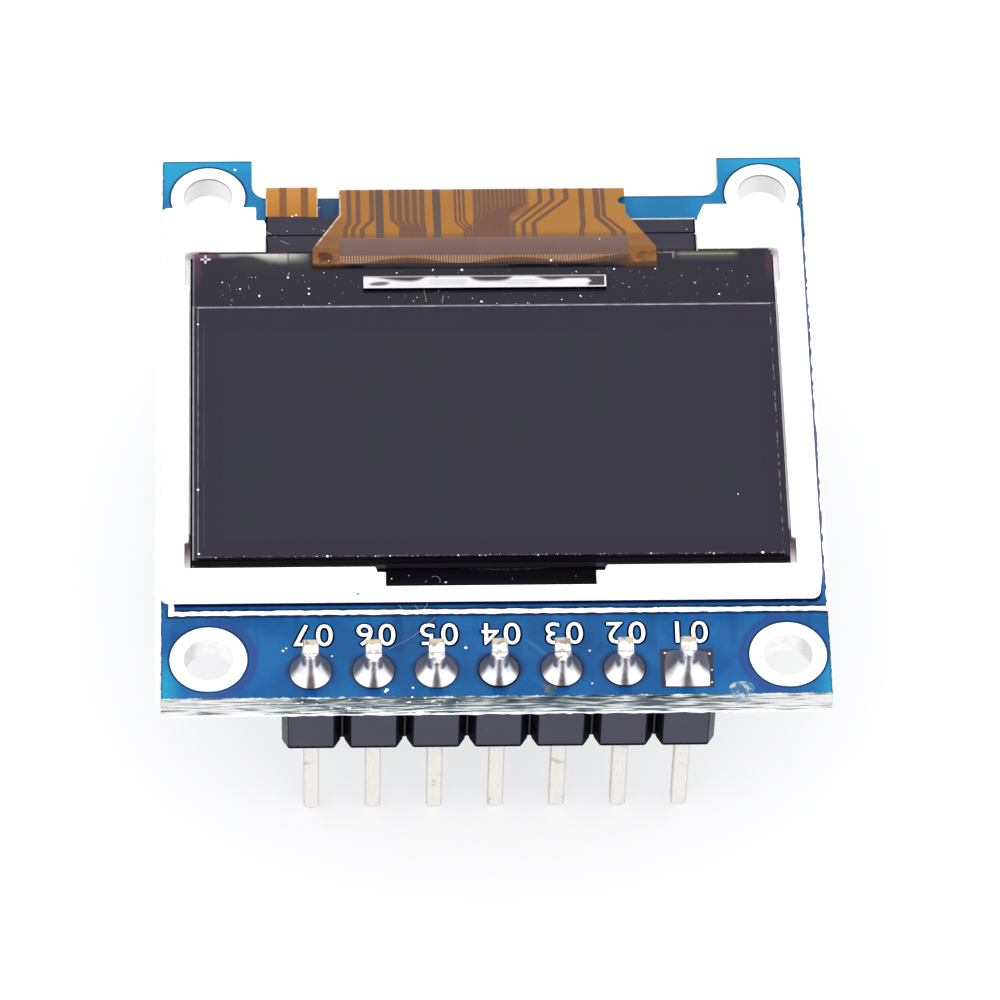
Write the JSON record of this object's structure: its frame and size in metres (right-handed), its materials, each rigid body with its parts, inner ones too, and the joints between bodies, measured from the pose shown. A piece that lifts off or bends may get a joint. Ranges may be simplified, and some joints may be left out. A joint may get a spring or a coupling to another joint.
{
  "type": "tft lcd module",
  "caption": "Small colour display on a square circuit board with corner holes, a white backlight frame, an amber flex folded round the rear edge and a pin header along the front edge.",
  "frame": {"origin": "centre of the four corner holes, on the board's rear face", "axes": "+Z out of the display face along the corner holes, +X along the pin header, +Y from the header edge to the flex edge"},
  "size_m": [0.0272, 0.0276, 0.0118],
  "materials": {
    "board_blue": "blue solder mask, glossy",
    "header_plastic": "black moulded plastic, satin",
    "tinned_pin": "tin-plated, satin",
    "solder": "bright tin solder",
    "frame_white": "white moulded plastic",
    "clear_tape": "double-sided tape",
    "reflector": "white reflector film",
    "clear_plastic": "clear moulded plastic",
    "film": "frosted optical film",
    "black_tape": "black tape, satin",
    "dark_glass": "polished dark glass",
    "polarizer": "dark polarizer film, semi-gloss",
    "silicon": "polished silicon",
    "flex_amber": "amber polyimide over copper tracks",
    "bond_resin": "brown bond resin",
    "lamp": "white lamp body",
    "black_epoxy": "black moulded package",
    "capacitor_ceramic": "tan ceramic with tinned ends",
    "resistor_body": "black film on ceramic with tinned ends"
  },
  "bodies": {
    "root": {"pcb": "board_blue", "header_strip": "header_plastic", "header_pin_1": "tinned_pin", "header_pin_2": "tinned_pin", "header_pin_3": "tinned_pin", "header_pin_4": "tinned_pin", "header_pin_5": "tinned_pin", "header_pin_6": "tinned_pin", "header_pin_7": "tinned_pin", "solder_fillet_1": "solder", "solder_fillet_2": "solder", "solder_fillet_3": "solder", "solder_fillet_4": "solder", "solder_fillet_5": "solder", "solder_fillet_6": "solder", "solder_fillet_7": "solder", "backlight_frame": "frame_white", "mounting_tape": "clear_tape", "reflector_film": "reflector", "light_guide": "clear_plastic", "diffuser_film": "film", "lower_prism_film": "film", "upper_prism_film": "film", "led_cover_tape": "black_tape", "rim_tape": "black_tape", "rear_polarizer": "polarizer", "array_glass": "dark_glass", "filter_glass": "dark_glass", "front_polarizer": "polarizer", "driver_chip": "silicon", "bond_film": "bond_resin", "display_flex": "flex_amber", "flex_solder": "solder", "backlight_flex": "flex_amber", "backlight_solder": "solder", "backlight_led_1": "lamp", "backlight_led_2": "lamp", "regulator": "black_epoxy", "backlight_transistor": "black_epoxy", "capacitor_1": "capacitor_ceramic", "capacitor_2": "capacitor_ceramic", "capacitor_3": "capacitor_ceramic", "resistor_1": "resistor_body", "resistor_2": "resistor_body", "resistor_3": "resistor_body"}
  },
  "joints": []
}
